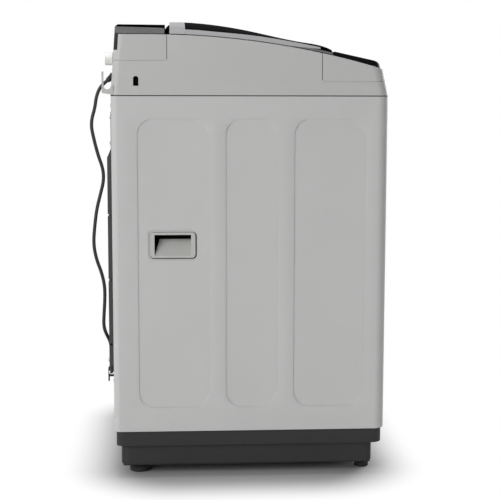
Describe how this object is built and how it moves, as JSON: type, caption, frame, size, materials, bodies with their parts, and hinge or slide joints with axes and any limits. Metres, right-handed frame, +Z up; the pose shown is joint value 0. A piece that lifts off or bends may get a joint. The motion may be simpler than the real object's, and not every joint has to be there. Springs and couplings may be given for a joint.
{
  "type": "top load washing machine",
  "caption": "Top loading washing machine with a crowned glass lid, pressed steel cabinet, hung tub with spinning basket and pulsator, belt drive and mains lead.",
  "frame": {"origin": "on the floor under the centre of the machine's own box, without the mains lead", "axes": "+Z up, the front faces -Y, the machine's left side seen from the front faces -X"},
  "size_m": [0.662, 0.6038, 0.9422],
  "materials": {
    "painted_steel": "satin light grey enamel",
    "cover_plastic": "satin light grey moulding",
    "light_plastic": "plain light grey moulding",
    "dark_plastic": "fine grained black moulding",
    "deck_plastic": "satin dark grey moulding",
    "rail_plastic": "satin grey moulding",
    "silver_trim": "silver lacquer, glossy",
    "grip_plastic": "glossy dark grey moulding",
    "panel_plastic": "glossy black moulding",
    "button_plastic": "satin silver grey",
    "lid_glass": "black tinted tempered glass",
    "smoked_window": "smoked clear plastic",
    "tub_plastic": "natural white moulding",
    "drawer_plastic": "pale blue grey moulding",
    "stainless": "brushed stainless steel",
    "zinc_steel": "zinc plated steel",
    "cast_aluminium": "as cast",
    "motor_enamel": "black baked enamel",
    "gear_steel": "bare pressed steel",
    "black_rubber": "matte black rubber",
    "cord_rubber": "matte black flexible sheath",
    "board_green": "coated circuit board"
  },
  "bodies": {
    "cabinet": {"cabinet_shell": "painted_steel", "side_handles": "light_plastic", "base_frame": "dark_plastic", "rear_feet": "black_rubber", "back_panel": "zinc_steel", "back_cover": "deck_plastic", "top_cover": "cover_plastic", "rear_deck": "deck_plastic", "hinge_pins": "zinc_steel", "lid_lock": "dark_plastic", "control_panel": "panel_plastic", "display_window": "smoked_window", "panel_housing": "dark_plastic", "control_board": "board_green", "drawer_housing": "tub_plastic", "inlet_valve": "light_plastic", "pressure_sensor": "tub_plastic", "hose_hook": "light_plastic", "hanger_rods": "zinc_steel", "suspension_springs": "zinc_steel", "drain_outlet": "dark_plastic", "cabinet_screws": "zinc_steel", "strain_relief": "cord_rubber", "power_cord": "cord_rubber", "cord_coil": "cord_rubber", "cord_tie": "dark_plastic", "plug": "cord_rubber", "cord_clips": "dark_plastic"},
    "lid": {"lid_frame": "silver_trim", "lid_glass": "lid_glass", "lid_grip": "grip_plastic", "lid_rear_rail": "rail_plastic"},
    "drawer": {"detergent_drawer": "drawer_plastic"},
    "left_foot": {"front_foot_left": "black_rubber"},
    "right_foot": {"front_foot_right": "black_rubber"},
    "power": {"power_button": "button_plastic"},
    "start": {"start_button": "button_plastic"},
    "program": {"program_button": "button_plastic"},
    "level": {"level_button": "button_plastic"},
    "delay": {"delay_button": "button_plastic"},
    "tub": {"outer_tub": "tub_plastic", "tub_cover": "tub_plastic", "spring_seats": "dark_plastic", "tub_bracket": "zinc_steel", "gearcase": "gear_steel", "drive_motor": "motor_enamel", "drive_belt": "black_rubber", "drain_valve": "tub_plastic", "drain_motor": "dark_plastic", "drain_hose": "black_rubber"},
    "basket": {"wash_basket": "stainless", "balance_ring": "light_plastic", "basket_hub": "cast_aluminium", "lint_filters": "drawer_plastic", "spin_shaft": "zinc_steel"},
    "pulsator": {"pulsator": "light_plastic", "pulsator_cap": "button_plastic", "wash_shaft": "zinc_steel"},
    "drive_pulley": {"drive_pulley": "cast_aluminium"},
    "motor_pulley": {"motor_pulley": "cast_aluminium"}
  },
  "joints": [
    {"name": "lid_hinge", "type": "hinge", "parent": "cabinet", "child": "lid", "pos_m": [0, 0.142, 0.922], "axis": [-1, 0, 0], "range_deg": [0, 90]},
    {"name": "drawer_slide", "type": "slide", "parent": "cabinet", "child": "drawer", "axis": [0, -1, 0], "range_m": [0, 0.07]},
    {"name": "left_foot_screw", "type": "slide", "parent": "cabinet", "child": "left_foot", "axis": [0, 0, -1], "range_m": [0, 0.012]},
    {"name": "right_foot_screw", "type": "slide", "parent": "cabinet", "child": "right_foot", "axis": [0, 0, -1], "range_m": [0, 0.012]},
    {"name": "power_press", "type": "slide", "parent": "cabinet", "child": "power", "axis": [0, 0.213, -0.977], "range_m": [0, 0.0012], "stiffness_N_per_m": 600, "springref_m": -0.002},
    {"name": "start_press", "type": "slide", "parent": "cabinet", "child": "start", "axis": [0, 0.213, -0.977], "range_m": [0, 0.0012], "stiffness_N_per_m": 600, "springref_m": -0.002},
    {"name": "program_press", "type": "slide", "parent": "cabinet", "child": "program", "axis": [0, 0.213, -0.977], "range_m": [0, 0.0012], "stiffness_N_per_m": 600, "springref_m": -0.002},
    {"name": "level_press", "type": "slide", "parent": "cabinet", "child": "level", "axis": [0, 0.213, -0.977], "range_m": [0, 0.0012], "stiffness_N_per_m": 600, "springref_m": -0.002},
    {"name": "delay_press", "type": "slide", "parent": "cabinet", "child": "delay", "axis": [0, 0.213, -0.977], "range_m": [0, 0.0012], "stiffness_N_per_m": 600, "springref_m": -0.002},
    {"name": "tub_bounce", "type": "slide", "parent": "cabinet", "child": "tub", "axis": [0, 0, 1], "range_m": [-0.03, 0.012], "stiffness_N_per_m": 12000, "springref_m": 0.03395, "deforming": ["suspension_springs"]},
    {"name": "basket_spin", "type": "hinge", "parent": "tub", "child": "basket", "pos_m": [0, -0.0085, 0.5], "axis": [0, 0, 1], "continuous": true},
    {"name": "pulsator_spin", "type": "hinge", "parent": "basket", "child": "pulsator", "pos_m": [0, -0.0085, 0.5], "axis": [0, 0, 1], "continuous": true},
    {"name": "drive_pulley_spin", "type": "hinge", "parent": "tub", "child": "drive_pulley", "pos_m": [0, -0.0085, 0.158], "axis": [0, 0, 1], "continuous": true},
    {"name": "motor_pulley_spin", "type": "hinge", "parent": "tub", "child": "motor_pulley", "pos_m": [-0.12451, -0.09568, 0.158], "axis": [0, 0, 1], "continuous": true}
  ],
  "couplings": [
    {"joint": "drive_pulley_spin", "follows": "pulsator_spin", "ratio": 5.5},
    {"joint": "motor_pulley_spin", "follows": "pulsator_spin", "ratio": 15.886}
  ]
}
